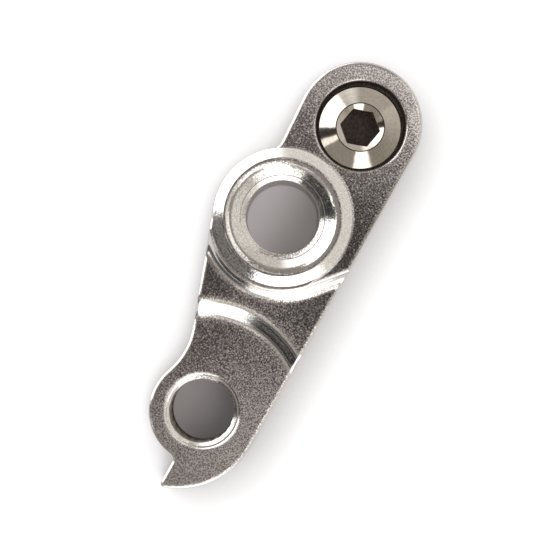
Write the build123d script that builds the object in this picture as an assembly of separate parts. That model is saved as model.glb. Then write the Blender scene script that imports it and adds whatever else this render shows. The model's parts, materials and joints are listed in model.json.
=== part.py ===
from build123d import *
from math import cos, radians, sin, sqrt, tan
import os

# Bicycle derailleur hanger: a one-piece body and the bolt that fixes it to the frame.
# The origin is on the axle axis, in the flat face that lies against the frame. +Z is the outer side,
# +Y runs along the body to the bolt lobe, and the derailleur hole is at -Y. Millimetres and degrees.

# Where the holes are
HOLE_LINE_X = 3.4
DERAILLEUR_Y = -30.0

# Thickness of the body, from the frame face up
ARM_THICKNESS = 7.0
ARM_STEP_HEIGHT = 2.0
RING_HEIGHT = 1.9

# Outline of the body
RIGHT_EDGE_OFFSET = 8.7
LOBE_RADIUS = 8.95
LOBE_RISE = 0.1
NECK_LEAN = 3.0
NECK_BLEND = 1.6
RING_LEDGE = 0.15
WAIST_LEAN = 18.9
ARM_EYE_RADIUS = 7.75
HOOK_RADIUS = 12.1
HOOK_DROP = 0.9
HOOK_STOP_OFFSET = 0.25
NOTCH_BLEND = 0.9
HOOK_TIP_ROUND = 0.6

# Edges of the body
EDGE_ROUND = 0.42
BACK_EDGE_CHAMFER = 0.3
HOLE_BACK_CHAMFER = 0.4

# Step from the plate down to the strip, which follows the ring and then runs straight to the edge.
# The wall is what stays upright between the concave foot and the rounded edge above it.
PLATE_STEP_LEDGE = 0.75
PLATE_STEP_EXIT_ANGLE = 40.0
PLATE_STEP_FILLET = 1.7
PLATE_STEP_WALL = 0.18

# Step from the strip down to the arm, which follows the derailleur hole. The strip land is the level
# part of the strip where the two steps come nearest to each other, and the waist land is the straight
# part of the left side between the foot of the step and the blend into the arm's eye.
STRIP_LAND = 1.05
WAIST_LAND = 1.0
ARM_STEP_SLOPE = 45.0
ARM_STEP_ROUND = 2.0
ARM_STEP_FILLET = 2.0

# Raised ring round the axle bore, with a bevel outside and two cones inside
RING_RADIUS = 9.85
RING_BEVEL_WIDTH = 1.45
RING_BEVEL_HEIGHT = 1.05
RING_CREST_WIDTH = 0.4
AXLE_CONE_WIDTH = 1.95
AXLE_CONE_DEPTH = 1.2
AXLE_LEAD_WIDTH = 0.85
AXLE_LEAD_DEPTH = 0.75

# Derailleur hole, at the core diameter of its M10 x 1 thread
DERAILLEUR_BORE_RADIUS = 4.55
DERAILLEUR_CHAMFER = 0.95

# Counterbore for the bolt head, and the through hole for the sleeve nut that the bolt screws into.
# The land is what is left of the plate between the counterbore and the ring.
BOLT_LAND = 0.94
COUNTERBORE_RADIUS = 6.35
COUNTERBORE_DEPTH = 2.0
COUNTERBORE_CHAMFER = 0.15
SLEEVE_HOLE_RADIUS = 5.25

# Bolt: flanged conical head, hexagon socket and a shank at the outer diameter of its thread. It lies
# loose, nearer to the ring than the middle of its hole; the side gap is what is left there.
HEAD_CLEARANCE = 0.37
HEAD_SIDE_GAP = 0.04
HEAD_RIM_HEIGHT = 1.9
HEAD_RIM_CHAMFER = 0.2
HEAD_CONE_HEIGHT = 1.2
HEAD_LAND = 0.15
SOCKET_MOUTH_RADIUS = 3.35
SOCKET_MOUTH_DEPTH = 0.9
SOCKET_ACROSS_FLATS = 5.0
SOCKET_DEPTH = 4.2
SOCKET_TURN = 19.0
SHANK_CLEARANCE = 1.25
SHANK_END_GAP = 0.4
SHANK_CHAMFER = 0.4

# Levels and radii worked out from the driving dimensions
STRIP_Z = ARM_THICKNESS + ARM_STEP_HEIGHT
PLATE_Z = STRIP_Z + PLATE_STEP_FILLET + PLATE_STEP_WALL + EDGE_ROUND
RING_Z = PLATE_Z + RING_HEIGHT
SEAT_Z = PLATE_Z - COUNTERBORE_DEPTH
OUTLINE_RING_RADIUS = RING_RADIUS + RING_LEDGE
PLATE_STEP_RADIUS = RING_RADIUS + PLATE_STEP_LEDGE
CREST_OUTER_RADIUS = RING_RADIUS - RING_BEVEL_WIDTH
CREST_INNER_RADIUS = CREST_OUTER_RADIUS - RING_CREST_WIDTH
AXLE_LEAD_RADIUS = CREST_INNER_RADIUS - AXLE_CONE_WIDTH
AXLE_BORE_RADIUS = AXLE_LEAD_RADIUS - AXLE_LEAD_WIDTH
HEAD_RADIUS = COUNTERBORE_RADIUS - HEAD_CLEARANCE
SHANK_RADIUS = SLEEVE_HOLE_RADIUS - SHANK_CLEARANCE

# Places worked out from the driving dimensions
BOLT_Y = sqrt((RING_RADIUS + BOLT_LAND + COUNTERBORE_RADIUS) ** 2 - HOLE_LINE_X**2)
LOBE_Y = BOLT_Y + LOBE_RISE
RIGHT_EDGE_X = HOLE_LINE_X + RIGHT_EDGE_OFFSET
LOBE_X = RIGHT_EDGE_X - LOBE_RADIUS
HOOK_Y = DERAILLEUR_Y - HOOK_DROP
HOOK_STOP_X = HOLE_LINE_X - HOOK_STOP_OFFSET
BOLT_HOLE_AXIS = Pos(HOLE_LINE_X, BOLT_Y)
BOLT_AXIS = Pos(HOLE_LINE_X, BOLT_Y - HEAD_CLEARANCE + HEAD_SIDE_GAP)
DERAILLEUR_AXIS = Pos(HOLE_LINE_X, DERAILLEUR_Y)

# Cutters reach past the body by its own length
REACH = LOBE_Y + LOBE_RADIUS - HOOK_Y + HOOK_RADIUS

# A face counts as facing up when its normal rises by more than this
FACING_UP = 0.02
NEAR = 0.001


def turned(*profile):
    """A solid of revolution about Z, from the radius and height of each corner of its profile."""
    return revolve(Plane.XZ * make_face(Polyline(*profile, close=True)), Axis.Z)


def nearest_corner(flat, x, y):
    """The corner of a flat shape that lies nearest to a point."""
    return flat.vertices().sort_by_distance((x, y, 0))[0]


def neck_side():
    """Where the left side leaves the lobe, and where it runs out level with the axle axis."""
    lean = radians(NECK_LEAN)
    start = Vector(LOBE_X - LOBE_RADIUS * cos(lean), LOBE_Y - LOBE_RADIUS * sin(lean))
    end = Vector(start.X + start.Y * tan(lean), 0)
    return start, end


def waist_side():
    """Where the slanted left side leaves the ring, and its point nearest to the derailleur axis."""
    lean = radians(WAIST_LEAN)
    start = Vector(-cos(lean), -sin(lean)) * OUTLINE_RING_RADIUS
    along = Vector(sin(lean), -cos(lean))
    end = start + along * (DERAILLEUR_AXIS.position - start).dot(along)
    return start, end


def arm_eye():
    """The round left side of the arm, half a disc about the derailleur axis."""
    left_half = Rectangle(ARM_EYE_RADIUS, 2 * ARM_EYE_RADIUS, align=(Align.MAX, Align.CENTER))
    return DERAILLEUR_AXIS * (Circle(ARM_EYE_RADIUS) & left_half)


def hook_flat():
    """The arm's lower corner: part of a disc, cut off straight at the face that stops the derailleur."""
    disc = Pos(RIGHT_EDGE_X - HOOK_RADIUS, HOOK_Y) * Circle(HOOK_RADIUS)
    window = Rectangle(RIGHT_EDGE_X - HOOK_STOP_X, HOOK_RADIUS, align=(Align.MIN, Align.MAX))
    return disc & Pos(HOOK_STOP_X, HOOK_Y) * window


def arm_step_radius(z):
    """Radius of the arm step's slope about the derailleur axis, at a height."""
    plate_step_foot = PLATE_STEP_RADIUS + PLATE_STEP_FILLET
    brow_width = ARM_STEP_ROUND * tan(radians(ARM_STEP_SLOPE) / 2)
    strip_radius = DERAILLEUR_AXIS.position.length - plate_step_foot - STRIP_LAND - brow_width
    return strip_radius - (STRIP_Z - z) / tan(radians(ARM_STEP_SLOPE))


def waist_blend():
    """Radius of the blend from the slanted side into the eye, which starts below the arm step's foot."""
    foot_width = ARM_STEP_FILLET * tan(radians(ARM_STEP_SLOPE) / 2)
    blend_start = arm_step_radius(ARM_THICKNESS) - foot_width - WAIST_LAND
    side_distance = (waist_side()[1] - DERAILLEUR_AXIS.position).length
    return (blend_start**2 - ARM_EYE_RADIUS**2) / (2 * (ARM_EYE_RADIUS - side_distance))


def body_outline():
    """Outline of the body: lobe, ring, arm eye and hook, joined by straight sides and blends."""
    neck_start, neck_end = neck_side()
    waist_start, waist_end = waist_side()
    web = make_face(
        Polyline(
            (LOBE_X, LOBE_Y),
            (RIGHT_EDGE_X, LOBE_Y),
            (RIGHT_EDGE_X, HOOK_Y),
            (HOOK_STOP_X, HOOK_Y),
            waist_end,
            waist_start,
            neck_end,
            neck_start,
            close=True,
        )
    )
    outline = web + Pos(LOBE_X, LOBE_Y) * Circle(LOBE_RADIUS) + Circle(OUTLINE_RING_RADIUS)
    outline = outline + arm_eye() + hook_flat()
    eye_shoulder = DERAILLEUR_AXIS.position + Vector(-sin(radians(45)), cos(radians(45))) * ARM_EYE_RADIUS
    eye_foot_y = DERAILLEUR_Y - ARM_EYE_RADIUS
    hook_foot_y = HOOK_Y - HOOK_RADIUS
    outline = fillet(nearest_corner(outline, neck_end.X, OUTLINE_RING_RADIUS), NECK_BLEND)
    outline = fillet(nearest_corner(outline, eye_shoulder.X, eye_shoulder.Y), waist_blend())
    outline = fillet(nearest_corner(outline, HOOK_STOP_X, eye_foot_y), NOTCH_BLEND)
    return fillet(nearest_corner(outline, HOOK_STOP_X, hook_foot_y), HOOK_TIP_ROUND)


def plate_step_cut():
    """What is milled off below the plate. Its wall follows the ring and ends in a concave foot."""
    turn = radians(PLATE_STEP_EXIT_ANGLE)
    outward = Vector(cos(turn), -sin(turn))
    exit_point = outward * PLATE_STEP_RADIUS
    run_out = exit_point + Vector(sin(turn), cos(turn)) * REACH
    beside_exit = make_face(Polyline((0, 0), exit_point, run_out, close=True))
    floor = Rectangle(2 * REACH, REACH, align=(Align.CENTER, Align.MAX))
    floor = floor - Circle(PLATE_STEP_RADIUS) - beside_exit
    cut = Pos(0, 0, STRIP_Z) * extrude(floor, REACH)
    floor_edges = cut.edges().filter_by_position(Axis.Z, STRIP_Z, STRIP_Z)
    round_foot = floor_edges.filter_by(GeomType.CIRCLE)
    straight_foot = floor_edges.filter_by(GeomType.LINE).sort_by_distance(exit_point)[0]
    return fillet([*round_foot, straight_foot], PLATE_STEP_FILLET)


def arm_step_cut():
    """What is cut off above the arm: a dish with a concave foot, and all that lies past the hole."""
    foot_radius = arm_step_radius(ARM_THICKNESS)
    rim_radius = arm_step_radius(RING_Z)
    dish = turned((0, ARM_THICKNESS), (foot_radius, ARM_THICKNESS), (rim_radius, RING_Z), (0, RING_Z))
    foot = dish.edges().filter_by_position(Axis.Z, ARM_THICKNESS, ARM_THICKNESS)
    past_hole = Box(2 * REACH, REACH, REACH, align=(Align.CENTER, Align.MAX, Align.MIN))
    return DERAILLEUR_AXIS * (fillet(foot, ARM_STEP_FILLET) + Pos(0, 0, ARM_THICKNESS) * past_hole)


def upper_edges(body):
    """Edges between the upright walls of the body and the faces that look up."""
    walls = body.faces().filter_by(lambda face: abs(face.normal_at().Z) < NEAR)
    tops = body.faces() - walls
    found = []
    for edge in walls.edges():
        middle = edge @ 0.5
        meets = [face for face in tops if any(edge.is_same(side) for side in face.edges())]
        if any(face.normal_at(middle).Z > FACING_UP for face in meets):
            found.append(edge)
    return found


def stepped_plate():
    """The body without its ring and holes: the outline, stepped down twice, with its edges broken."""
    plate = extrude(body_outline(), PLATE_Z) - plate_step_cut() - arm_step_cut()
    brow = plate.edges().filter_by(GeomType.CIRCLE).filter_by_position(Axis.Z, STRIP_Z, STRIP_Z)
    brow = brow.filter_by(lambda edge: abs(edge.radius - arm_step_radius(STRIP_Z)) < NEAR)
    plate = fillet(brow, ARM_STEP_ROUND)
    plate = fillet(upper_edges(plate), EDGE_ROUND)
    back = plate.faces().sort_by(Axis.Z)[0]
    return chamfer(back.edges(), BACK_EDGE_CHAMFER)


def axle_ring():
    """The raised ring before it is bored: a disc with a bevelled edge."""
    return turned(
        (0, STRIP_Z),
        (RING_RADIUS, STRIP_Z),
        (RING_RADIUS, RING_Z - RING_BEVEL_HEIGHT),
        (CREST_OUTER_RADIUS, RING_Z),
        (0, RING_Z),
    )


def axle_hole():
    """The axle bore, with a lead and a wide cone at the ring and a chamfer at the frame face."""
    cone_foot_z = RING_Z - AXLE_CONE_DEPTH
    return turned(
        (0, 0),
        (AXLE_BORE_RADIUS + HOLE_BACK_CHAMFER, 0),
        (AXLE_BORE_RADIUS, HOLE_BACK_CHAMFER),
        (AXLE_BORE_RADIUS, cone_foot_z - AXLE_LEAD_DEPTH),
        (AXLE_LEAD_RADIUS, cone_foot_z),
        (CREST_INNER_RADIUS, RING_Z),
        (0, RING_Z),
    )


def derailleur_hole():
    """The derailleur hole, chamfered at both ends."""
    return DERAILLEUR_AXIS * turned(
        (0, 0),
        (DERAILLEUR_BORE_RADIUS + HOLE_BACK_CHAMFER, 0),
        (DERAILLEUR_BORE_RADIUS, HOLE_BACK_CHAMFER),
        (DERAILLEUR_BORE_RADIUS, ARM_THICKNESS - DERAILLEUR_CHAMFER),
        (DERAILLEUR_BORE_RADIUS + DERAILLEUR_CHAMFER, ARM_THICKNESS),
        (0, ARM_THICKNESS),
    )


def bolt_hole():
    """The chamfered counterbore for the bolt head, above the through hole for the sleeve nut."""
    return BOLT_HOLE_AXIS * turned(
        (0, 0),
        (SLEEVE_HOLE_RADIUS, 0),
        (SLEEVE_HOLE_RADIUS, SEAT_Z),
        (COUNTERBORE_RADIUS, SEAT_Z),
        (COUNTERBORE_RADIUS, PLATE_Z - COUNTERBORE_CHAMFER),
        (COUNTERBORE_RADIUS + COUNTERBORE_CHAMFER, PLATE_Z),
        (0, PLATE_Z),
    )


def hanger_body():
    """The whole body, bored."""
    return stepped_plate() + axle_ring() - axle_hole() - derailleur_hole() - bolt_hole()


def bolt_socket(top_z):
    """The hexagon socket, with the cone that leads into it."""
    inscribed_radius = SOCKET_ACROSS_FLATS / 2
    hexagon = RegularPolygon(inscribed_radius, 6, major_radius=False, rotation=SOCKET_TURN)
    mouth = turned(
        (0, top_z - SOCKET_MOUTH_DEPTH),
        (inscribed_radius, top_z - SOCKET_MOUTH_DEPTH),
        (SOCKET_MOUTH_RADIUS, top_z),
        (0, top_z),
    )
    return mouth + Pos(0, 0, top_z) * extrude(hexagon, -SOCKET_DEPTH)


def fixing_bolt():
    """The bolt, with the underside of its head on the floor of the counterbore."""
    rim_z = SEAT_Z + HEAD_RIM_HEIGHT
    top_z = rim_z + HEAD_CONE_HEIGHT
    bolt = turned(
        (0, SHANK_END_GAP),
        (SHANK_RADIUS - SHANK_CHAMFER, SHANK_END_GAP),
        (SHANK_RADIUS, SHANK_END_GAP + SHANK_CHAMFER),
        (SHANK_RADIUS, SEAT_Z),
        (HEAD_RADIUS, SEAT_Z),
        (HEAD_RADIUS, rim_z - HEAD_RIM_CHAMFER),
        (HEAD_RADIUS - HEAD_RIM_CHAMFER, rim_z),
        (SOCKET_MOUTH_RADIUS + HEAD_LAND, top_z),
        (0, top_z),
    )
    return BOLT_AXIS * (bolt - bolt_socket(top_z))


if __name__ == "__main__":
    os.makedirs("parts", exist_ok=True)
    export_step(hanger_body(), "parts/hanger_body.step")
    export_step(fixing_bolt(), "parts/fixing_bolt.step")
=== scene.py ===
import json
import logging
import math
from dataclasses import dataclass, replace
from enum import Enum, IntEnum
from typing import Any, ClassVar

import bmesh
import bpy
from bmesh.types import BMEdge, BMesh, BMFace
from bpy.types import Material, Mesh, Node, NodeSocket, NodeTree, Object, World
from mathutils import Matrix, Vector


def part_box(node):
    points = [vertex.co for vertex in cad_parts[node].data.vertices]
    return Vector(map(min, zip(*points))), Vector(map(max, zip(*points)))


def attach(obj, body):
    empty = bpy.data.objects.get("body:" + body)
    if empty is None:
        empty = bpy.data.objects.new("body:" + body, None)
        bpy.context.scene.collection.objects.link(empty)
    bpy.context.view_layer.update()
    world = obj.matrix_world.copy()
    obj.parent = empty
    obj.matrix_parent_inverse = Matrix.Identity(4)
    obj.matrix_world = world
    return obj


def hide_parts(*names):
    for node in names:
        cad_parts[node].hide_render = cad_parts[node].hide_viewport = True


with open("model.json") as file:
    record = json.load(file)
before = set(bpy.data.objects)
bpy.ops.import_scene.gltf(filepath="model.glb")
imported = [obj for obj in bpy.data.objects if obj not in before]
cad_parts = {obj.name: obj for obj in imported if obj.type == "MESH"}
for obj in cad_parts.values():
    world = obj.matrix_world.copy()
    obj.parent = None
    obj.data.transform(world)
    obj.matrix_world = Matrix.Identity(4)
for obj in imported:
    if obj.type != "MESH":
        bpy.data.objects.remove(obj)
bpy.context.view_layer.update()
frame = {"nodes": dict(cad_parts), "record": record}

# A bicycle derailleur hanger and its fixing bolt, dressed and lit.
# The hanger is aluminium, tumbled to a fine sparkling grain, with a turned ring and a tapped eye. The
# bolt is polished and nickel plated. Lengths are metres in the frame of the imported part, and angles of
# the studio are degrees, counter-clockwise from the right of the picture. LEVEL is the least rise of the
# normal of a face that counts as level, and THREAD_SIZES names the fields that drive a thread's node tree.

MM = 0.001
BODY = "root"
LEVEL = 0.99
FLOAT = "NodeSocketFloat"
VECTOR = "NodeSocketVector"
THREAD_SIZES = (
    "radius", "depth", "pitch", "start", "crest", "root", "run_out",
    "top_flare", "bottom_flare", "flare_rise", "rim", "land",
)
Colour = tuple[float, float, float]
Stops = dict[float, Colour]

log = logging.getLogger("hanger")


class Slot(Enum):
    """Material slots of the record, one for each piece."""

    ALLOY = "hanger_alloy"
    STEEL = "bolt_steel"


class HangerFace(IntEnum):
    """Surfaces of the hanger, in the order of its materials."""

    TUMBLED = 0
    RING = 1
    EYE = 2
    COUNTERBORE = 3
    CREST = 4
    THREAD = 5


class BoltFace(IntEnum):
    """Surfaces of the bolt, in the order of its materials."""

    SOCKET_FLOOR = 0
    HEAD = 1
    MOUTH = 2


class Facing(Enum):
    """Least and greatest rise of the normals of faces that look one way."""

    UPWARD = (0.1, 1.1)
    SIDEWAYS = (-0.9, 0.9)


class Graph:
    """A node tree being wired, with short ways to add its nodes.

    Attributes:
        mix_inputs: Numbers of a Mix node's sockets for the factor and for two colours.
        mix_result: Number of its socket for the mixed colour.
    """

    mix_inputs = (0, 6, 7)
    mix_result = 2

    def __init__(self, tree: NodeTree) -> None:
        """Takes the tree to wire."""
        self.tree = tree

    def feed(self, socket: NodeSocket, value: Any) -> None:
        """Links another socket to an input, or sets the input's own value.

        Args:
            socket: The input to feed.
            value: An output socket, or a plain value.
        """
        if isinstance(value, NodeSocket):
            self.tree.links.new(value, socket)
        else:
            socket.default_value = value

    def add(self, kind: str, inputs: dict[Any, Any] | None = None, **settings: Any) -> Node:
        """Adds a node.

        Args:
            kind: The node's type name.
            inputs: Sockets or values for its inputs, by name or number.
            settings: Values for the node's own properties.

        Returns:
            The new node.
        """
        node = self.tree.nodes.new(kind)
        for name, value in settings.items():
            setattr(node, name, value)
        for key, value in (inputs or {}).items():
            self.feed(node.inputs[key], value)
        return node

    def math(self, operation: str, *terms: Any) -> NodeSocket:
        """Adds a sum on numbers, which may be sockets, and gives its result."""
        return self.add("ShaderNodeMath", dict(enumerate(terms)), operation=operation).outputs[0]

    def vector(self, operation: str, *terms: Any) -> NodeSocket:
        """Adds a sum on vectors, which may be sockets, and gives its result."""
        return self.add("ShaderNodeVectorMath", dict(enumerate(terms)), operation=operation).outputs[0]

    def measure(self, operation: str, *terms: Any) -> NodeSocket:
        """Adds a measure of vectors, such as a length, and gives the number."""
        return self.add("ShaderNodeVectorMath", dict(enumerate(terms)), operation=operation).outputs[1]

    def scaled(self, vector: Any, factor: Any) -> NodeSocket:
        """Adds a product of a vector and a number, and gives the scaled vector."""
        return self.add("ShaderNodeVectorMath", {0: vector, "Scale": factor}, operation="SCALE").outputs[0]

    def parts(self, vector: Any) -> Any:
        """Splits a vector, and gives the sockets of its X, Y and Z."""
        return self.add("ShaderNodeSeparateXYZ", {0: vector}).outputs

    def group(self, tree: NodeTree, inputs: dict[str, Any]) -> Any:
        """Places a shared node group, and gives the sockets of its outputs."""
        return self.add("ShaderNodeGroup", inputs, node_tree=tree).outputs

    def ease(self, value: Any, start: Any, end: Any, low: Any = 0.0, high: Any = 1.0) -> NodeSocket:
        """Adds a smooth step of a value between start and end, and gives its result, from low to high."""
        inputs = {"Value": value, "From Min": start, "From Max": end, "To Min": low, "To Max": high}
        return self.add("ShaderNodeMapRange", inputs, interpolation_type="SMOOTHSTEP").outputs["Result"]

    def mix(self, factor: Any, first: Any, second: Any) -> NodeSocket:
        """Adds a mix of two colours.

        Args:
            factor: Share of the second colour.
            first: The first colour, or its socket.
            second: The second colour, or its socket.

        Returns:
            The mixed colour's socket.
        """
        inputs = dict(zip(self.mix_inputs, (factor, first, second)))
        return self.add("ShaderNodeMix", inputs, data_type="RGBA").outputs[self.mix_result]

    def ramp(self, value: Any, stops: Stops) -> NodeSocket:
        """Adds a ramp of colours.

        Args:
            value: What the ramp follows, from 0 to 1.
            stops: The ramp's colours, by their place.

        Returns:
            The colour's socket.
        """
        node = self.add("ShaderNodeValToRGB", {0: value})
        elements = node.color_ramp.elements
        elements.remove(elements[0])
        for number, (place, colour) in enumerate(stops.items()):
            element = elements.new(place) if number else elements[0]
            element.position = place
            element.color = opaque(colour)
        return node.outputs[0]


def opaque(colour: Colour) -> tuple[float, float, float, float]:
    """A colour with full alpha, as colour sockets take it."""
    return (*colour, 1.0)


def blank_graph(owner: Material | World) -> Graph:
    """Starts the node tree of a material or a world.

    Args:
        owner: The material or world.

    Returns:
        The graph of its empty tree.
    """
    owner.use_nodes = True
    owner.node_tree.nodes.clear()
    return Graph(owner.node_tree)


def linked(name: str, data: Any) -> Object:
    """Makes an object and links it to the scene.

    Args:
        name: The object's name.
        data: Its mesh or camera.

    Returns:
        The object.
    """
    thing = bpy.data.objects.new(name, data)
    bpy.context.scene.collection.objects.link(thing)
    return thing


def evaluated_mesh(thing: Object) -> Mesh:
    """A plain mesh of an object with its modifiers applied."""
    depsgraph = bpy.context.evaluated_depsgraph_get()
    return bpy.data.meshes.new_from_object(thing.evaluated_get(depsgraph), depsgraph=depsgraph)


def node_group(
    kind: str, name: str, inputs: dict[str, str], outputs: dict[str, str]
) -> tuple[Graph, Any, Any]:
    """Starts a node group with named sockets.

    Args:
        kind: The tree's type name.
        name: The group's name.
        inputs: Socket type of each input, by name.
        outputs: Socket type of each output, by name.

    Returns:
        The group's graph, the sockets of its inputs and the sockets of its outputs.
    """
    tree = bpy.data.node_groups.new(name, kind)
    for label, socket_type in inputs.items():
        tree.interface.new_socket(label, in_out="INPUT", socket_type=socket_type)
    for label, socket_type in outputs.items():
        tree.interface.new_socket(label, in_out="OUTPUT", socket_type=socket_type)
    graph = Graph(tree)
    return graph, graph.add("NodeGroupInput").outputs, graph.add("NodeGroupOutput").inputs


class Effects:
    """Shader node groups that several finishes share."""

    grain_noise = {"Detail": 3.0, "Roughness": 0.6}
    pit_edge = 0.6
    pit_floor = 0.38
    line_noise = {"Detail": 2.0}
    film_noise = {"Detail": 4.0, "Distortion": 0.6}
    film_edge = 0.35
    film_middle = 0.7

    def __init__(self) -> None:
        """Builds each group once."""
        self.grain = self.build_grain()
        self.turning = self.build_turning()
        self.film = self.build_film()

    def build_grain(self) -> NodeTree:
        """Builds the tumbled grain, which tilts the surface a little at each grain.

        Returns:
            The node group.
        """
        inputs = {"Normal": VECTOR, "Position": VECTOR, "Grains": FLOAT, "Tilt": FLOAT}
        outputs = {"Normal": VECTOR, "Pit": FLOAT}
        graph, given, result = node_group("ShaderNodeTree", "tumbled_grain", inputs, outputs)
        spread = {"Vector": given["Position"], "Scale": given["Grains"]}
        noise = graph.add("ShaderNodeTexNoise", spread | self.grain_noise)
        lean = graph.vector("SUBTRACT", noise.outputs["Color"], (0.5, 0.5, 0.5))
        leaning = graph.vector("ADD", given["Normal"], graph.scaled(lean, given["Tilt"]))
        graph.feed(result["Normal"], graph.vector("NORMALIZE", leaning))
        graph.feed(result["Pit"], graph.ease(noise.outputs[0], self.pit_edge, self.pit_floor))
        return graph.tree

    def build_turning(self) -> NodeTree:
        """Builds the fine rings that a lathe leaves round the Z axis.

        Returns:
            The node group.
        """
        inputs = {"Normal": VECTOR, "Position": VECTOR, "Lines": FLOAT, "Tilt": FLOAT}
        graph, given, result = node_group("ShaderNodeTree", "turning_lines", inputs, {"Normal": VECTOR})
        outward = graph.vector("MULTIPLY", given["Position"], (1.0, 1.0, 0.0))
        along = graph.math("ADD", graph.measure("LENGTH", outward), graph.parts(given["Position"])["Z"])
        spread = {"W": along, "Scale": given["Lines"]}
        noise = graph.add("ShaderNodeTexNoise", spread | self.line_noise, noise_dimensions="1D")
        lean = graph.math("MULTIPLY", graph.math("SUBTRACT", noise.outputs[0], 0.5), given["Tilt"])
        leaning = graph.scaled(graph.vector("NORMALIZE", outward), lean)
        tilted = graph.vector("ADD", given["Normal"], leaning)
        graph.feed(result["Normal"], graph.vector("NORMALIZE", tilted))
        return graph.tree

    def build_film(self) -> NodeTree:
        """Builds the uneven film that handling leaves, as a mask.

        Returns:
            The node group.
        """
        inputs = {"Position": VECTOR, "Scale": FLOAT}
        graph, given, result = node_group("ShaderNodeTree", "handling_film", inputs, {"Film": FLOAT})
        spread = {"Vector": given["Position"], "Scale": given["Scale"]}
        noise = graph.add("ShaderNodeTexNoise", spread | self.film_noise)
        graph.feed(result["Film"], graph.ease(noise.outputs[0], self.film_edge, self.film_middle))
        return graph.tree


@dataclass(frozen=True)
class MetalFinish:
    """A bare metal surface.

    Attributes:
        name: Name of its material.
        colour: Colour of the clean metal.
        pit_colour: Colour in the pits of the grain.
        roughness: Gloss where the metal is clean.
        film_roughness: Gloss under the handling film.
        grain: Grains per metre.
        grain_tilt: How far a grain leans.
        lines: Turning lines per metre.
        line_tilt: How far a turning line leans.
        film: Patches of film per metre.
        lay_flat: How far the surface is laid flatter than its faces.
        burnished: Rise of the normals from which pits show more, and from which they are whole.
        pits_kept: Share of the pits that shows on slopes.
        edge_round: Radius over which tumbling has softened the edges further.
        centre: A point on the axis that the surface was turned about.
        bevel_samples: Samples that find the softened edges.
    """

    name: str
    colour: Colour
    pit_colour: Colour
    roughness: float
    film_roughness: float
    grain: float
    grain_tilt: float
    lines: float = 4000.0
    line_tilt: float = 0.0
    film: float = 90.0
    lay_flat: float = 0.0
    burnished: tuple[float, float] = (-1.1, -1.0)
    pits_kept: float = 0.12
    edge_round: float = 0.0
    centre: Colour = (0.0, 0.0, 0.0)
    bevel_samples: int = 6

    def about(self, turning: "Turning", name: str, **changes: Any) -> "MetalFinish":
        """The same finish under a name of its own, turned about an axis."""
        return replace(self, name=name, centre=(turning.x, turning.y, 0.0), **changes)

    def material(self, effects: Effects) -> Material:
        """Builds the finish as a material.

        Args:
            effects: The shared node groups.

        Returns:
            The material.
        """
        material = bpy.data.materials.new(self.name)
        graph = blank_graph(material)
        place = graph.add("ShaderNodeTexCoord").outputs["Object"]
        bevel = graph.add("ShaderNodeBevel", {"Radius": self.edge_round}, samples=self.bevel_samples)
        flatter = graph.vector("ADD", bevel.outputs[0], (0.0, 0.0, self.lay_flat))
        normal = graph.vector("NORMALIZE", flatter)
        centred = graph.add("ShaderNodeMapping", {"Vector": place, "Location": [-x for x in self.centre]})
        lines = {"Lines": self.lines, "Tilt": self.line_tilt}
        turned = graph.group(effects.turning, {"Normal": normal, "Position": centred.outputs[0]} | lines)
        grains = {"Grains": self.grain, "Tilt": self.grain_tilt}
        grain = graph.group(effects.grain, {"Normal": turned["Normal"], "Position": place} | grains)
        film = graph.group(effects.film, {"Position": place, "Scale": self.film})
        kept = graph.ease(graph.parts(normal)["Z"], *self.burnished, self.pits_kept, 1.0)
        pit = graph.math("MULTIPLY", grain["Pit"], kept)
        surface = {"Base Color": graph.mix(pit, opaque(self.colour), opaque(self.pit_colour))}
        surface |= {"Roughness": graph.ease(film["Film"], 0.0, 1.0, self.roughness, self.film_roughness)}
        surface |= {"Metallic": 1.0, "Normal": grain["Normal"]}
        shader = graph.add("ShaderNodeBsdfPrincipled", surface)
        graph.add("ShaderNodeOutputMaterial", {"Surface": shader.outputs[0]})
        return material


@dataclass(frozen=True)
class Turning:
    """An upright axis, and how far the surfaces turned about it reach.

    Attributes:
        x: Place of the axis along X.
        y: Place of the axis along Y.
        reach: Radius of the outermost turned edge.
        flat_reach: Radius of the outermost turned edge of its level faces, if they reach further.
    """

    x: float
    y: float
    reach: float
    flat_reach: float = 0.0

    def radius(self, point: Vector) -> float:
        """Distance of a point from the axis."""
        return math.hypot(point.x - self.x, point.y - self.y)

    def holds(self, face: BMFace, slack: float) -> bool:
        """Whether all corners of a face lie on surfaces turned about the axis, with some slack."""
        reach = max(self.reach, self.flat_reach) if face.normal.z > LEVEL else self.reach
        return all(self.radius(vert.co) <= reach + slack for vert in face.verts)


@dataclass(frozen=True)
class Insert:
    """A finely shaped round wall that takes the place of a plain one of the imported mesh.

    Attributes:
        turning: The wall's axis, with its largest radius as the reach.
        bore: Its smallest radius.
        facing: Which way the faces look that give way to it.
        finish: Number of its material.
    """

    turning: Turning
    bore: float
    facing: Facing
    finish: int

    def takes(self, face: BMFace, slack: float) -> bool:
        """Whether a face gives way to the wall.

        Args:
            face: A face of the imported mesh.
            slack: Tolerance on the radii.

        Returns:
            True if the wall takes the face's place.
        """
        radii = [self.turning.radius(vert.co) for vert in face.verts]
        within = self.bore - slack < min(radii) and max(radii) < self.turning.reach + slack
        least, greatest = self.facing.value
        return within and least < face.normal.z < greatest

    def levels(self, low: float, high: float) -> tuple[float, float]:
        """Heights of the wall's two open ends, from those of the faces that it takes the place of."""
        return low, high

    def wall(self, low: float, high: float, inset: float, material: Material) -> Mesh:
        """Makes the wall, open at both ends. Each kind of wall does so in its own way."""
        raise NotImplementedError


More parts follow.
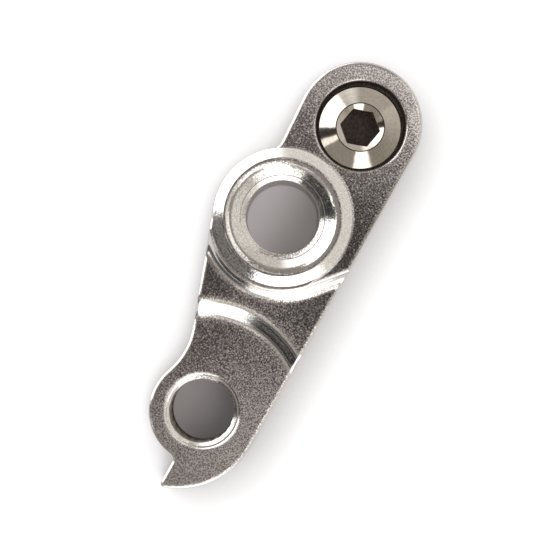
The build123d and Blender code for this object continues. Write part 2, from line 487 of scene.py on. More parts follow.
@dataclass(frozen=True)
class Thread(Insert):
    """A fine thread cut into an upright round wall, and into the flares at its ends.

    Attributes:
        radius: Radius of the uncut wall.
        depth: How far the groove goes out from the wall, or in towards the axis with a minus sign.
        pitch: Rise of one turn.
        top_flare: How far the wall flares at its upper end.
        bottom_flare: How far the wall flares at its lower end.
        groove_finish: Number of the material below the upper flare.
        flare_rise: Height of a flare for each unit of its width.
        rim: Width of the bevel at the upper rim, above a fine land.
        land: Width of that land.
        start: Share of a turn by which the groove is turned on.
        crest: Share of a flank at which the groove starts.
        root: Share of a flank at which the groove is whole.
        around: Steps round the axis.
        per_turn: Steps along the axis in one turn of the thread.
        run_out: Length over which the groove fades at an end with no flare.
    """

    radius: float
    depth: float
    pitch: float
    top_flare: float
    bottom_flare: float
    groove_finish: int
    flare_rise: float = 0.92
    rim: float = 0.0
    land: float = 0.0
    start: float = 0.0
    crest: float = 0.85
    root: float = 0.15
    around: int = 168
    per_turn: int = 24
    run_out: float = 0.3 * MM

    @staticmethod
    def tree() -> NodeTree:
        """Builds the Geometry Nodes tree of a threaded wall, once.

        Returns:
            The tree.
        """
        known = bpy.data.node_groups.get("threaded_wall")
        if known:
            return known
        inputs = {"place": VECTOR, "length": FLOAT} | dict.fromkeys(THREAD_SIZES, FLOAT)
        inputs |= {"around": "NodeSocketInt", "along": "NodeSocketInt", "material": "NodeSocketMaterial"}
        outputs = {"geometry": "NodeSocketGeometry"}
        graph, given, result = node_group("GeometryNodeTree", "threaded_wall", inputs, outputs)
        wall_inputs = {"Vertices": given["around"], "Side Segments": given["along"]}
        wall_inputs |= {"Radius": given["radius"], "Depth": given["length"]}
        wall = graph.add("GeometryNodeMeshCylinder", wall_inputs, fill_type="NONE")
        place = graph.add("GeometryNodeInputPosition").outputs[0]
        part = graph.parts(place)
        angle = graph.math("DIVIDE", graph.math("ARCTAN2", part["Y"], part["X"]), math.tau)
        angle = graph.math("ADD", angle, given["start"])
        rise = graph.math("DIVIDE", part["Z"], given["pitch"])
        turn = graph.math("FRACT", graph.math("SUBTRACT", rise, angle))
        flank = graph.math("ABSOLUTE", graph.math("SUBTRACT", graph.math("MULTIPLY", turn, 2.0), 1.0))
        groove_inputs = {"Value": flank, "From Min": given["crest"], "From Max": given["root"]}
        groove = graph.add("ShaderNodeMapRange", groove_inputs)
        half = graph.math("DIVIDE", given["length"], 2.0)
        ends = []
        flares = []
        for label, side in (("top_flare", -1.0), ("bottom_flare", 1.0)):
            inward = graph.math("ADD", half, graph.math("MULTIPLY", part["Z"], side))
            ends.append(graph.math("ADD", inward, given[label]))
            slope = graph.math("DIVIDE", inward, given["flare_rise"])
            flares.append(graph.math("SUBTRACT", given[label], slope))
        rim_end = graph.math("SUBTRACT", given["top_flare"], given["rim"])
        below_rim = graph.math("LESS_THAN", flares[0], rim_end)
        flares[0] = graph.math("SUBTRACT", flares[0], graph.math("MULTIPLY", below_rim, given["land"]))
        fade = graph.ease(graph.math("MINIMUM", *ends), 0.0, given["run_out"])
        cut = graph.math("MULTIPLY", groove.outputs[0], graph.math("MULTIPLY", fade, given["depth"]))
        flare = graph.math("MAXIMUM", graph.math("MAXIMUM", *flares), graph.math("ABSOLUTE", cut))
        moved_out = graph.math("MULTIPLY", flare, graph.math("SIGN", given["depth"]))
        swell = graph.math("ADD", graph.math("DIVIDE", moved_out, given["radius"]), 1.0)
        stretch = graph.add("ShaderNodeCombineXYZ", {"X": swell, "Y": swell, "Z": 1.0}).outputs[0]
        moved = graph.vector("ADD", graph.vector("MULTIPLY", place, stretch), given["place"])
        shaped = graph.add("GeometryNodeSetPosition", {"Geometry": wall.outputs["Mesh"], "Position": moved})
        plain = graph.add("GeometryNodeRealizeInstances", {"Geometry": shaped.outputs[0]})
        dressed = graph.add("GeometryNodeSetMaterial", {0: plain.outputs[0], "Material": given["material"]})
        graph.feed(result["geometry"], dressed.outputs[0])
        return graph.tree

    def wall(self, low: float, high: float, inset: float, material: Material) -> Mesh:
        """Makes the threaded wall between two heights.

        Args:
            low: Height of the lower rim.
            high: Height of the upper rim.
            inset: How far it stays back from the rims.
            material: Its material.

        Returns:
            A plain mesh, open at both ends.
        """
        tree = self.tree()
        length = high - low - 2 * inset
        values = {name: getattr(self, name) for name in THREAD_SIZES}
        values |= {"place": (self.turning.x, self.turning.y, (low + high) / 2), "length": length}
        values |= {"around": self.around, "along": round(length / self.pitch * self.per_turn)}
        values |= {"material": material}
        holder = linked("thread_wall", bpy.data.meshes.new("thread_wall"))
        modifier = holder.modifiers.new("thread", "NODES")
        modifier.node_group = tree
        for item in tree.interface.items_tree:
            if item.in_out == "INPUT":
                modifier[item.identifier] = values[item.name]
        mesh = evaluated_mesh(holder)
        bpy.data.objects.remove(holder)
        flare_foot = high - self.top_flare * self.flare_rise
        for polygon in mesh.polygons:
            polygon.material_index = self.finish if polygon.center.z > flare_foot else self.groove_finish
        return mesh


@dataclass(frozen=True)
class Corner:
    """A corner of a turned profile.

    Attributes:
        radius: Its distance from the axis.
        drop: How far it lies below the profile's top.
        before: How far its rounding reaches back along the profile.
        after: How far its rounding reaches on along the profile.
    """

    radius: float
    drop: float
    before: float = 0.0
    after: float = 0.0


@dataclass(frozen=True)
class TurnedWall(Insert):
    """A turned wall with rounded corners, spun from its profile.

    Attributes:
        top: Height of the profile's top.
        corners: The profile's corners, from its outer end to its inner one.
        band: Least and greatest radius of the band that has another material.
        band_finish: Number of that material.
        around: Steps round the axis.
        steps: Steps in each rounding.
    """

    top: float
    corners: tuple[Corner, ...]
    band: tuple[float, float]
    band_finish: int
    around: int = 288
    steps: int = 12

    def levels(self, low: float, high: float) -> tuple[float, float]:
        """Heights of the first and last corners."""
        return self.top - self.corners[0].drop, self.top - self.corners[-1].drop

    def profile(self, inset: float) -> list[Vector]:
        """Works out the points of the rounded profile.

        Args:
            inset: How far its ends stay back.

        Returns:
            Radius and height of each point.
        """
        points = [Vector((corner.radius, self.top - corner.drop)) for corner in self.corners]
        first = points[0] + (points[1] - points[0]).normalized() * inset
        last = points[-1] + (points[-2] - points[-1]).normalized() * inset
        path = [first]
        for corner, back, middle, on in zip(self.corners[1:], points, points[1:], points[2:]):
            start = middle + (back - middle).normalized() * corner.before
            end = middle + (on - middle).normalized() * corner.after
            steps = self.steps if corner.before else 0
            for step in range(steps + 1):
                share = step / max(steps, 1)
                path.append(start.lerp(middle, share).lerp(middle.lerp(end, share), share))
        return [*path, last]

    def wall(self, low: float, high: float, inset: float, material: Material) -> Mesh:
        """Spins the profile about the axis.

        Args:
            low: Not used, since the profile has its own heights.
            high: Not used.
            inset: How far the wall stays back from its rims.
            material: Not used, since the faces carry the number of theirs.

        Returns:
            A plain mesh, open at both ends.
        """
        path = self.profile(inset)
        count = len(path)
        places = []
        for step in range(self.around):
            turn = math.tau * step / self.around
            for point in path:
                x = self.turning.x + point.x * math.cos(turn)
                y = self.turning.y + point.x * math.sin(turn)
                places.append((x, y, point.y))
        faces = []
        for step in range(self.around):
            here = step * count
            there = (step + 1) % self.around * count
            faces += [(here + n, here + n + 1, there + n + 1, there + n) for n in range(count - 1)]
        mesh = bpy.data.meshes.new("turned_wall")
        mesh.from_pydata(places, [], faces)
        for polygon in mesh.polygons:
            grainy = self.band[0] < self.turning.radius(polygon.center) < self.band[1]
            polygon.material_index = self.band_finish if grainy else self.finish
        return mesh


@dataclass
class Piece:
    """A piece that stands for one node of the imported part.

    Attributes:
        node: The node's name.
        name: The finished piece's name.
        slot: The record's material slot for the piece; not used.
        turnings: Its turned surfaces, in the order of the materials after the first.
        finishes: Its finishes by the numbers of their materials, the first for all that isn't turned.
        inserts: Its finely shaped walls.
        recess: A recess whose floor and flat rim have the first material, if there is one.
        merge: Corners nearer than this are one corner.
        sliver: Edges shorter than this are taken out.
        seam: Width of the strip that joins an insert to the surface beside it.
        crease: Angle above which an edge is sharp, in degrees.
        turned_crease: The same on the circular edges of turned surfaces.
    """

    node: str
    name: str
    slot: Slot
    turnings: list[Turning]
    finishes: dict[int, MetalFinish]
    inserts: list[Insert]
    recess: Turning | None = None
    merge: float = 0.001 * MM
    sliver: float = 0.0001 * MM
    seam: float = 0.02 * MM
    crease: float = 32.0
    turned_crease: float = 9.0

    def build(self, effects: Effects) -> Object:
        """Makes the piece and hands it to the frame.

        Args:
            effects: The shared node groups.

        Returns:
            The finished object.
        """
        materials = [self.finishes[number].material(effects) for number in sorted(self.finishes)]
        shape = self.merged_copy()
        self.assign_finishes(shape)
        for insert in self.inserts:
            self.put_in(shape, insert, materials[insert.finish])
        bmesh.ops.recalc_face_normals(shape, faces=shape.faces)
        self.sharpen(shape)
        mesh = bpy.data.meshes.new(self.name)
        shape.to_mesh(mesh)
        shape.free()
        for material in materials:
            mesh.materials.append(material)
        piece = linked(self.name, mesh)
        self.smooth(piece)
        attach(piece, BODY)
        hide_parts(self.node)
        return piece

    def merged_copy(self) -> BMesh:
        """Copies the node's triangles into one closed mesh.

        Returns:
            The merged copy.
        """
        shape = bmesh.new()
        shape.from_mesh(frame["nodes"][self.node].data)
        bmesh.ops.remove_doubles(shape, verts=shape.verts, dist=self.merge)
        bmesh.ops.dissolve_degenerate(shape, dist=self.sliver, edges=shape.edges)
        return shape

    def assign_finishes(self, shape: BMesh) -> None:
        """Gives each face its material: the turned ones by their axis, and the first to the rest.

        Args:
            shape: The piece's mesh.
        """
        shape.normal_update()
        for face in shape.faces:
            face.material_index = 0
            for number, turning in enumerate(self.turnings, start=1):
                if face.normal.z > -LEVEL and turning.holds(face, self.seam):
                    face.material_index = number
            if self.recess and face.normal.z > LEVEL and self.recess.holds(face, self.seam):
                face.material_index = 0

    def put_in(self, shape: BMesh, insert: Insert, material: Material) -> None:
        """Puts a finely shaped wall in the place of the plain one.

        Args:
            shape: The piece's mesh.
            insert: The wall.
            material: The wall's material.
        """
        old = [face for face in shape.faces if insert.takes(face, self.seam)]
        heights = [vert.co.z for face in old for vert in face.verts]
        low, high = min(heights), max(heights)
        bmesh.ops.delete(shape, geom=old, context="FACES")
        shape.from_mesh(insert.wall(low, high, self.seam, material))
        for level in insert.levels(low, high):
            rim = [edge for edge in shape.edges if edge.is_boundary]
            rim = [edge for edge in rim if all(abs(v.co.z - level) < 2 * self.seam for v in edge.verts)]
            for edge in rim:
                edge.seam = True
            for face in bmesh.ops.bridge_loops(shape, edges=rim)["faces"]:
                face.material_index = insert.finish
        shape.normal_update()

    def sharpen(self, shape: BMesh) -> None:
        """Marks the edges that stay sharp.

        Args:
            shape: The piece's mesh.
        """
        for face in shape.faces:
            face.smooth = True
        for edge in shape.edges:
            fold = math.degrees(edge.calc_face_angle(0.0))
            limit = self.turned_crease if self.is_turned_edge(edge) else self.crease
            edge.smooth = fold < limit and not edge.seam
            edge.seam = False

    def is_turned_edge(self, edge: BMEdge) -> bool:
        """Whether an edge runs round one of the turned axes.

        Args:
            edge: The edge.

        Returns:
            True if both of its ends have the same height and radius.
        """
        start, end = (vert.co for vert in edge.verts)
        if abs(start.z - end.z) > self.merge:
            return False
        for turning in self.turnings:
            first, second = turning.radius(start), turning.radius(end)
            if first < turning.reach + self.seam and abs(first - second) < self.merge:
                return True
        return False

    @staticmethod
    def smooth(piece: Object) -> None:
        """Sets the normals so that flat faces stay flat beside the rounds that meet them.

        Args:
            piece: The object to smooth.
        """
        modifier = piece.modifiers.new("normals", "WEIGHTED_NORMAL")
        modifier.keep_sharp = True
        rough = piece.data
        piece.data = evaluated_mesh(piece)
        piece.data.name = piece.name
        piece.modifiers.clear()
        bpy.data.meshes.remove(rough)


def mount(name: str) -> tuple[float, float, float]:
    """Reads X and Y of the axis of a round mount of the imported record, and its radius."""
    entry = next(entry for entry in frame["record"]["mounts"] if entry["name"] == name)
    return entry["pos_m"][0], entry["pos_m"][1], entry["dims"]["r_mm"] * MM


@dataclass(frozen=True)
class Hanger:
    """The one-piece hanger: tumbled all over, with a turned ring and eye, and painted shade in the
    counterbore.

    Attributes:
        ring_corners: Profile of the ring's top, from its outer edge to the axle bore.
        crest_band: Least and greatest radius of the ring's grainy crest.
        ledge_reach: Radius of the ledge round the ring.
        eye_chamfer: Width of the eye's chamfer at the front.
        eye_rim: Width of the bevel at the eye's rim.
        eye_land: Width of the land inside that bevel.
        back_chamfer: Width of the eye's chamfer at the back.
        counterbore_reach: Radius within which the counterbore has painted shade.
        counterbore_shift: How far the counterbore's axis lies beyond the bolt's, along Y.
        thread_pitch: Rise of one turn of the eye's thread.
        thread_depth: Depth of that thread.
        thread_start: Share of a turn by which it is turned on.
        colour: Colour of the clean alloy.
        crest_grain_tilt: How far a grain of the crest leans.
        tumbled: Finish of all that isn't turned.
        turned: Finish of the ring and of the eye's rim.
        counterbore_shade: Painted shade: a dark colour in the gap round the bolt's head, where shade falls.
        tapped_and_shaded: Flanks of the eye's thread, rough and dull as tapped, and darker in colour as
            painted shade inside the eye.
    """

    ring_corners: tuple[Corner, ...] = (
        Corner(radius=9.85 * MM, drop=1.05 * MM),
        Corner(radius=8.4 * MM, drop=0.0, before=0.18 * MM, after=0.05 * MM),
        Corner(radius=8.05 * MM, drop=0.0, before=0.15 * MM, after=0.25 * MM),
        Corner(radius=7.45 * MM, drop=0.11 * MM, before=0.3 * MM, after=0.45 * MM),
        Corner(radius=6.06 * MM, drop=1.0 * MM),
        Corner(radius=5.94 * MM, drop=1.01 * MM),
        Corner(radius=5.3 * MM, drop=1.6 * MM),
        Corner(radius=5.2 * MM, drop=1.61 * MM),
        Corner(radius=5.2 * MM, drop=1.95 * MM),
    )
    crest_band: tuple[float, float] = (7.3 * MM, 9.86 * MM)
    ledge_reach: float = 10.65 * MM
    eye_chamfer: float = 0.95 * MM
    eye_rim: float = 0.2 * MM
    eye_land: float = 0.2 * MM
    back_chamfer: float = 0.4 * MM
    counterbore_reach: float = 6.5 * MM
    counterbore_shift: float = 0.33 * MM
    thread_pitch: float = 1.0 * MM
    thread_depth: float = 0.45 * MM
    thread_start: float = 0.67
    colour: Colour = (0.93, 0.90, 0.87)
    crest_grain_tilt: float = 0.32
    tumbled: MetalFinish = MetalFinish(
        name="tumbled_alloy",
        colour=colour,
        pit_colour=(0.42, 0.38, 0.365),
        roughness=0.12,
        film_roughness=0.15,
        grain=4600.0,
        grain_tilt=0.14,
        burnished=(0.9, 0.985),
        edge_round=0.55 * MM,
    )
    turned: MetalFinish = MetalFinish(
        name="turned_alloy",
        colour=colour,
        pit_colour=(0.76, 0.735, 0.70),
        roughness=0.13,
        film_roughness=0.17,
        grain=5000.0,
        grain_tilt=0.22,
        lines=9000.0,
        line_tilt=0.08,
    )
    # Painted shade: the gap round the bolt's head is darkened in colour to stand in for its shade.
    counterbore_shade: MetalFinish = MetalFinish(
        name="soiled_alloy",
        colour=(0.17, 0.145, 0.125),
        pit_colour=(0.10, 0.085, 0.075),
        roughness=0.4,
        film_roughness=0.5,
        grain=3000.0,
        grain_tilt=0.3,
    )
    # Partly painted shade: the flanks are rough and dull as tapped, and their colour is darkened to stand
    # in for the shade inside the eye.
    tapped_and_shaded: MetalFinish = MetalFinish(
        name="tapped_thread",
        colour=(0.36, 0.32, 0.295),
        pit_colour=(0.25, 0.22, 0.20),
        roughness=0.3,
        film_roughness=0.4,
        grain=3000.0,
        grain_tilt=0.3,
    )

    def piece(self) -> Piece:
        """Describes the hanger's piece.

        Returns:
            The piece, ready to build.
        """
        eye_x, eye_y, eye_radius = mount("derailleur_thread")
        bolt_x, bolt_y, _ = mount("fixing_thread")
        turnings = [
            Turning(0.0, 0.0, self.ring_corners[0].radius, self.ledge_reach),
            Turning(eye_x, eye_y, eye_radius + self.eye_chamfer),
            Turning(bolt_x, bolt_y + self.counterbore_shift, self.counterbore_reach),
        ]
        crest = self.turned.about(turnings[0], "turned_crest", grain_tilt=self.crest_grain_tilt)
        finishes = {
            HangerFace.TUMBLED: self.tumbled,
            HangerFace.RING: self.turned.about(turnings[0], "turned_ring"),
            HangerFace.EYE: self.turned.about(turnings[1], "turned_eye"),
            # The counterbore takes the painted shade.
            HangerFace.COUNTERBORE: self.counterbore_shade,
            HangerFace.CREST: crest,
            HangerFace.THREAD: self.tapped_and_shaded,
        }
        inserts = [self.ring(turnings[0]), self.thread(turnings[1], eye_radius)]
        return Piece("hanger_body", "hanger_dressed", Slot.ALLOY, turnings, finishes, inserts)

    def ring(self, turning: Turning) -> TurnedWall:
        """The ring's turned top, with its crest rounded and a fine land at each edge of its lead.

        Args:
            turning: The ring's axis.

        Returns:
            The wall.
        """
        return TurnedWall(
            turning=turning,
            bore=self.ring_corners[-1].radius,
            facing=Facing.UPWARD,
            finish=HangerFace.RING,
            top=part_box("hanger_body")[1].z,
            corners=self.ring_corners,
            band=self.crest_band,
            band_finish=HangerFace.CREST,
        )

    def thread(self, turning: Turning, radius: float) -> Thread:
        """The eye's thread, which runs out into its chamfers.

        Args:
            turning: The eye's axis.
            radius: The eye's core radius.

        Returns:
            The wall.
        """
        return Thread(
            turning=turning,
            bore=radius,
            facing=Facing.SIDEWAYS,
            finish=HangerFace.EYE,
            radius=radius,
            depth=self.thread_depth,
            pitch=self.thread_pitch,
            top_flare=self.eye_chamfer,
            bottom_flare=self.back_chamfer,
            groove_finish=HangerFace.THREAD,
            rim=self.eye_rim,
            land=self.eye_land,
            start=self.thread_start,
        )


@dataclass(frozen=True)
class FixingBolt:
    """The bolt that lies in the lobe: a polished conical head, and a hexagon socket whose floor has painted
    shade.

    Attributes:
        head_radius: Radius of the head.
        mouth_radius: Radius of the socket's mouth.
        land_radius: Radius of the land round that mouth, which has the same painted shade.
        tip_chamfer: Width of the chamfer at the shank's tip.
        thread_pitch: Rise of one turn of the shank's thread.
        thread_depth: Depth of that thread, with a minus sign because it goes in.
        mouth_lay_flat: How far the mouth is laid flatter than its faces.
        nickel: Finish of the plated head, mouth and shank.
        socket_shade: Painted shade: a dark colour on the socket's floor, on the land round its mouth and on
            what looks down.
    """

    head_radius: float = 5.98 * MM
    mouth_radius: float = 3.36 * MM
    land_radius: float = 3.56 * MM
    tip_chamfer: float = 0.4 * MM
    thread_pitch: float = 0.75 * MM
    thread_depth: float = -0.42 * MM
    mouth_lay_flat: float = 0.55
    nickel: MetalFinish = MetalFinish(
        name="nickel",
        colour=(0.66, 0.61, 0.545),
        pit_colour=(0.60, 0.55, 0.49),
        roughness=0.06,
        film_roughness=0.11,
        grain=2600.0,
        grain_tilt=0.012,
        lines=6000.0,
        line_tilt=0.012,
    )
    # Painted shade: a dark colour that stands in for the shade at the bottom of the socket, round its mouth
    # and under the head.
    socket_shade: MetalFinish = MetalFinish(
        name="socket_oxide",
        colour=(0.09, 0.07, 0.065),
        pit_colour=(0.06, 0.05, 0.045),
        roughness=0.34,
        film_roughness=0.45,
        grain=3000.0,
        grain_tilt=0.4,
    )

    def piece(self) -> Piece:
        """Describes the bolt's piece.

        Returns:
            The piece, ready to build.
        """
        x, y, shank_radius = mount("fixing_thread")
        head = Turning(x, y, self.head_radius)
        thread = Thread(
            turning=Turning(x, y, shank_radius),
            bore=shank_radius - self.tip_chamfer,
            facing=Facing.SIDEWAYS,
            finish=BoltFace.HEAD,
            radius=shank_radius,
            depth=self.thread_depth,
            pitch=self.thread_pitch,
            top_flare=0.0,
            bottom_flare=self.tip_chamfer,
            groove_finish=BoltFace.HEAD,
        )
        mouth = Turning(x, y, self.mouth_radius)
        land = Turning(x, y, self.land_radius)
        finishes = {
            # The socket's floor, the land and what looks down take the painted shade.
            BoltFace.SOCKET_FLOOR: self.socket_shade,
            BoltFace.HEAD: self.nickel.about(head, "nickel_head"),
            BoltFace.MOUTH: self.nickel.about(mouth, "nickel_mouth", lay_flat=self.mouth_lay_flat),
        }
        return Piece("fixing_bolt", "bolt_dressed", Slot.STEEL, [head, mouth], finishes, [thread], land)


@dataclass(frozen=True)
class Card:
    """A bright or dark card of the studio, at a far distance.

    Attributes:
        azimuth: Direction of its middle.
        half_width: Half of its width.
        top: Angle of its upper edge from straight up.
        bottom: Angle of its lower edge from straight up.
        soft: Width of its soft edges.
        light: Its colour, as light.
    """

    azimuth: float
    half_width: float
    top: float
    bottom: float
    soft: float
    light: Colour


@dataclass(frozen=True)
class Hole:
    """A round hole of the part, through which the floor is seen in shade.

    Attributes:
        mount: The hole's mount.
        reach: Radius of the shade on the floor.
        near: Glow of the floor on the side of the light.
        far: Glow of the floor on the other side.
        soft: Width of the shade's soft edge.
    """

    mount: str
    reach: float
    near: Colour
    far: Colour
    soft: float = 0.1 * MM

    def shade(self, graph: Graph, glow: NodeSocket, turn: float) -> NodeSocket:
        """Adds the hole's shade to the floor.

        Args:
            graph: The floor's graph.
            glow: Glow of the floor round the hole.
            turn: Direction of the light.

        Returns:
            The shaded glow's socket.
        """
        x, y, radius = mount(self.mount)
        place = graph.add("ShaderNodeNewGeometry").outputs["Position"]
        aside = graph.vector("MULTIPLY", graph.vector("SUBTRACT", place, (x, y, 0.0)), (1.0, 1.0, 0.0))
        along = graph.measure("DOT_PRODUCT", aside, (math.cos(turn), math.sin(turn), 0.0))
        inside = graph.ease(graph.measure("LENGTH", aside), self.reach, self.reach - self.soft)
        tone = graph.mix(graph.ease(along, -radius, radius), opaque(self.far), opaque(self.near))
        return graph.mix(inside, glow, tone)


@dataclass(frozen=True)
class Studio:
    """A soft sky with bright and dark cards, a white floor, and a camera that looks down.

    Attributes:
        camera_turn: Turn of the camera about its line of sight.
        camera_place: X and Y of the camera.
        camera_above_plate: Height of the camera above the plate.
        plate_below_ring: How far the plate lies below the ring's top.
        picture_width: Width of the picture at the level of the plate.
        camera_clip: Least distance at which the camera sees.
        floor_half_size: Half of the floor's width.
        floor_colour: Colour of the matt floor.
        floor_lift: Glow of the floor, by how open it lies to the light.
        holes: Holes through which the floor is seen in shade.
        floor_touch: Share of that glow that is left close to the object, by how open the floor lies there.
        floor_mirrored: Share of the glow that shows in reflections.
        shade_azimuth: Direction that the light on the floor leans to.
        shade_reach: How far away a thing still shades the floor.
        shade_lean: How far the light leans from straight above.
        touch_reach: The reach of the shade close to the object.
        touch_lean: The lean of the light for that shade.
        shade_samples: Samples that find the shade.
        horizon: Angle of the horizon from straight up.
        sky: Light of the sky, by the angle from straight up.
        cards: Cards in front of the sky, the later ones before the earlier ones.
    """

    camera_turn: float = 29.15
    camera_place: tuple[float, float] = (4.01 * MM, -7.92 * MM)
    camera_above_plate: float = 230.0 * MM
    plate_below_ring: float = 1.9 * MM
    picture_width: float = 79.52 * MM
    camera_clip: float = 10.0 * MM
    floor_half_size: float = 0.25
    floor_colour: Colour = (0.3, 0.3, 0.305)
    floor_lift: ClassVar[Stops] = {
        0.0: (0.06, 0.055, 0.055),
        0.3: (0.31, 0.295, 0.297),
        0.5: (0.50, 0.485, 0.487),
        0.7: (0.69, 0.682, 0.683),
        0.9: (0.88, 0.88, 0.88),
    }
    holes: tuple[Hole, ...] = (
        Hole("axle_bore", reach=6.2 * MM, near=(0.31, 0.28, 0.284), far=(0.105, 0.092, 0.092)),
        Hole("derailleur_thread", reach=5.6 * MM, near=(0.17, 0.152, 0.150), far=(0.03, 0.026, 0.026)),
    )
    floor_touch: ClassVar[Stops] = {
        0.1: (0.50, 0.49, 0.49),
        0.5: (0.84, 0.835, 0.835),
        0.8: (1.0, 1.0, 1.0),
    }
    floor_mirrored: float = 0.5
    shade_azimuth: float = 150.0
    shade_reach: float = 8.0 * MM
    shade_lean: float = 14.0
    touch_reach: float = 2.6 * MM
    touch_lean: float = -32.0
    shade_samples: int = 8
    horizon: float = 90.0
    sky: ClassVar[Stops] = {
        0.0: (0.014, 0.010, 0.009),
        3.2: (0.020, 0.015, 0.014),
        4.7: (0.045, 0.036, 0.034),
        5.6: (0.12, 0.103, 0.099),
        6.8: (0.27, 0.243, 0.233),
        10.0: (0.27, 0.245, 0.234),
        20.0: (0.25, 0.23, 0.215),
        32.0: (0.25, 0.23, 0.21),
        54.0: (0.32, 0.295, 0.26),
        63.0: (0.58, 0.555, 0.51),
        72.0: (0.74, 0.715, 0.67),
        90.0: (0.88, 0.86, 0.83),
    }
    cards: tuple[Card, ...] = (
        Card(azimuth=235.0, half_width=36.0, top=26.0, bottom=60.0, soft=7.0, light=(0.37, 0.345, 0.315)),
        Card(azimuth=0.0, half_width=42.0, top=57.0, bottom=99.0, soft=6.0, light=(0.74, 0.715, 0.67)),
        Card(azimuth=0.0, half_width=34.0, top=7.0, bottom=26.0, soft=4.0, light=(0.5, 0.475, 0.445)),
        Card(azimuth=133.0, half_width=48.0, top=54.0, bottom=100.0, soft=16.0, light=(2.0, 2.0, 2.0)),
        Card(azimuth=146.0, half_width=30.0, top=27.0, bottom=100.0, soft=5.0, light=(2.2, 2.2, 2.2)),
        Card(azimuth=274.0, half_width=40.0, top=54.0, bottom=100.0, soft=14.0, light=(2.0, 2.0, 2.0)),
        Card(azimuth=277.0, half_width=17.0, top=22.0, bottom=100.0, soft=5.0, light=(2.0, 2.0, 2.0)),
        Card(azimuth=209.0, half_width=38.0, top=54.0, bottom=104.0, soft=8.0, light=(0.02, 0.022, 0.024)),
        Card(azimuth=207.0, half_width=38.0, top=68.5, bottom=79.0, soft=5.0, light=(0.33, 0.315, 0.295)),
        Card(azimuth=182.0, half_width=10.0, top=44.0, bottom=60.0, soft=3.0, light=(0.05, 0.045, 0.04)),
        Card(azimuth=102.0, half_width=15.0, top=40.0, bottom=62.0, soft=5.0, light=(0.28, 0.26, 0.23)),
        Card(azimuth=198.0, half_width=7.0, top=40.0, bottom=55.0, soft=2.0, light=(1.7, 1.68, 1.62)),
        Card(azimuth=55.0, half_width=36.0, top=6.2, bottom=15.0, soft=2.5, light=(0.85, 0.82, 0.795)),
        Card(azimuth=236.0, half_width=42.0, top=2.2, bottom=5.6, soft=1.6, light=(0.2, 0.182, 0.177)),
        Card(azimuth=272.0, half_width=31.0, top=2.8, bottom=8.2, soft=2.5, light=(0.68, 0.635, 0.62)),
        Card(azimuth=300.0, half_width=32.0, top=13.0, bottom=43.0, soft=4.0, light=(1.6, 1.57, 1.52)),
        Card(azimuth=26.0, half_width=28.0, top=13.0, bottom=40.0, soft=4.0, light=(1.1, 1.08, 1.04)),
        Card(azimuth=252.0, half_width=22.0, top=22.0, bottom=46.0, soft=6.0, light=(0.8, 0.76, 0.71)),
    )

    def build(self) -> None:
        """Sets the light, the floor, the camera and the view transform."""
        bpy.context.scene.view_settings.view_transform = "Standard"
        self.light()
        self.lay_floor()
        self.aim_camera()

    def card_group(self) -> NodeTree:
        """Builds the node group that masks one card out of the sky.

        Returns:
            The node group.
        """
        angles = ("Azimuth", "Half width", "Top", "Bottom", "Soft")
        inputs = {"Direction": VECTOR} | dict.fromkeys(angles, FLOAT)
        graph, given, result = node_group("ShaderNodeTree", "studio_card", inputs, {"Mask": FLOAT})
        turn = graph.add("ShaderNodeVectorRotate", {"Vector": given["Direction"]}, rotation_type="Z_AXIS")
        graph.feed(turn.inputs["Angle"], graph.math("MULTIPLY", given["Azimuth"], -1.0))
        part = graph.parts(turn.outputs[0])
        aside = graph.math("ABSOLUTE", graph.math("ARCTAN2", part["Y"], part["X"]))
        down = graph.math("ARCCOSINE", part["Z"])
        within = graph.ease(graph.math("SUBTRACT", given["Half width"], aside), 0.0, given["Soft"])
        below = graph.ease(graph.math("SUBTRACT", down, given["Top"]), 0.0, given["Soft"])
        above = graph.ease(graph.math("SUBTRACT", given["Bottom"], down), 0.0, given["Soft"])
        graph.feed(result["Mask"], graph.math("MULTIPLY", graph.math("MULTIPLY", within, below), above))
        return graph.tree

    def light(self) -> None:
        """Paints the studio round the object: a soft sky, with cards in front of it."""
        world = bpy.data.worlds.new("studio")
        bpy.context.scene.world = world
        graph = blank_graph(world)
        direction = graph.add("ShaderNodeTexCoord").outputs["Generated"]
        down = graph.math("ARCCOSINE", graph.parts(direction)["Z"])
        share = graph.math("DIVIDE", down, math.radians(self.horizon))
        colour = graph.ramp(share, {angle / self.horizon: colour for angle, colour in self.sky.items()})
        group = self.card_group()
        for card in self.cards:
            angles = {"Azimuth": card.azimuth + self.camera_turn, "Half width": card.half_width}
            angles |= {"Top": card.top, "Bottom": card.bottom, "Soft": card.soft}
            inputs = {label: math.radians(angle) for label, angle in angles.items()}
            mask = graph.group(group, {"Direction": direction} | inputs)["Mask"]
            colour = graph.mix(mask, colour, opaque(card.light))
        seen = graph.add("ShaderNodeLightPath").outputs["Is Camera Ray"]
        colour = graph.mix(seen, colour, opaque((1.0, 1.0, 1.0)))
        background = graph.add("ShaderNodeBackground", {"Color": colour})
        graph.add("ShaderNodeOutputWorld", {"Surface": background.outputs[0]})

    def lay_floor(self) -> None:
        """Lays the white floor, which keeps the object's shadow."""
        shape = bmesh.new()
        bmesh.ops.create_grid(shape, x_segments=1, y_segments=1, size=self.floor_half_size)
        mesh = bpy.data.meshes.new("floor")
        shape.to_mesh(mesh)
        shape.free()
        mesh.materials.append(self.floor_material())
        linked("floor", mesh)

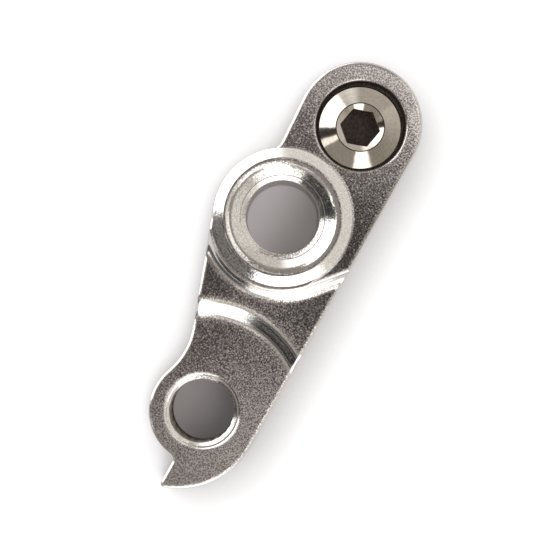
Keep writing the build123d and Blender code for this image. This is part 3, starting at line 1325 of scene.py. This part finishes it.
    def floor_material(self) -> Material:
        """Makes the floor's material: matt white, lifted where it is seen or reflected in the open.

        Returns:
            The material.
        """
        material = bpy.data.materials.new("floor_white")
        graph = blank_graph(material)
        paths = graph.add("ShaderNodeLightPath").outputs
        mirrored = graph.math("MULTIPLY", paths["Is Glossy Ray"], self.floor_mirrored)
        seen = graph.math("MAXIMUM", paths["Is Camera Ray"], paths["Is Transmission Ray"])
        seen = graph.math("MAXIMUM", seen, mirrored)
        matt = graph.add("ShaderNodeBsdfDiffuse", {"Color": opaque(self.floor_colour)})
        shade = graph.ramp(self.openness(graph, self.shade_reach, self.shade_lean), self.floor_lift)
        touch = graph.ramp(self.openness(graph, self.touch_reach, self.touch_lean), self.floor_touch)
        glow = graph.vector("MULTIPLY", shade, touch)
        for hole in self.holes:
            glow = hole.shade(graph, glow, math.radians(self.shade_azimuth + self.camera_turn))
        lift = graph.add("ShaderNodeEmission", {"Color": glow, "Strength": seen})
        both = graph.add("ShaderNodeAddShader", {0: matt.outputs[0], 1: lift.outputs[0]})
        graph.add("ShaderNodeOutputMaterial", {"Surface": both.outputs[0]})
        return material

    def openness(self, graph: Graph, reach: float, lean: float) -> NodeSocket:
        """Adds a measure of how open the floor lies to the light.

        Args:
            graph: The floor's graph.
            reach: How far away a thing still shades the floor.
            lean: How far the light leans from straight above.

        Returns:
            The measure's socket, from 0 to 1.
        """
        down = math.radians(lean)
        turn = math.radians(self.shade_azimuth + self.camera_turn)
        facing = (math.sin(down) * math.cos(turn), math.sin(down) * math.sin(turn), math.cos(down))
        node = graph.add("ShaderNodeAmbientOcclusion", {"Distance": reach}, samples=self.shade_samples)
        graph.feed(node.inputs["Normal"], graph.vector("NORMALIZE", facing))
        return node.outputs["AO"]

    def aim_camera(self) -> None:
        """Hangs the camera above the object, looking straight down."""
        camera = bpy.data.cameras.new("camera")
        camera.lens = camera.sensor_width * self.camera_above_plate / self.picture_width
        camera.clip_start = self.camera_clip
        holder = linked("camera", camera)
        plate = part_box("hanger_body")[1].z - self.plate_below_ring
        holder.location = (*self.camera_place, plate + self.camera_above_plate)
        holder.rotation_euler.z = math.radians(self.camera_turn)
        bpy.context.scene.camera = holder


def main() -> None:
    """Builds the hanger, the bolt and the studio, and reports each piece."""
    logging.basicConfig(level=logging.INFO)
    effects = Effects()
    for maker in (Hanger(), FixingBolt()):
        piece = maker.piece().build(effects)
        log.info("%s: %d faces", piece.name, len(piece.data.polygons))
    Studio().build()


if __name__ == "__main__":
    main()
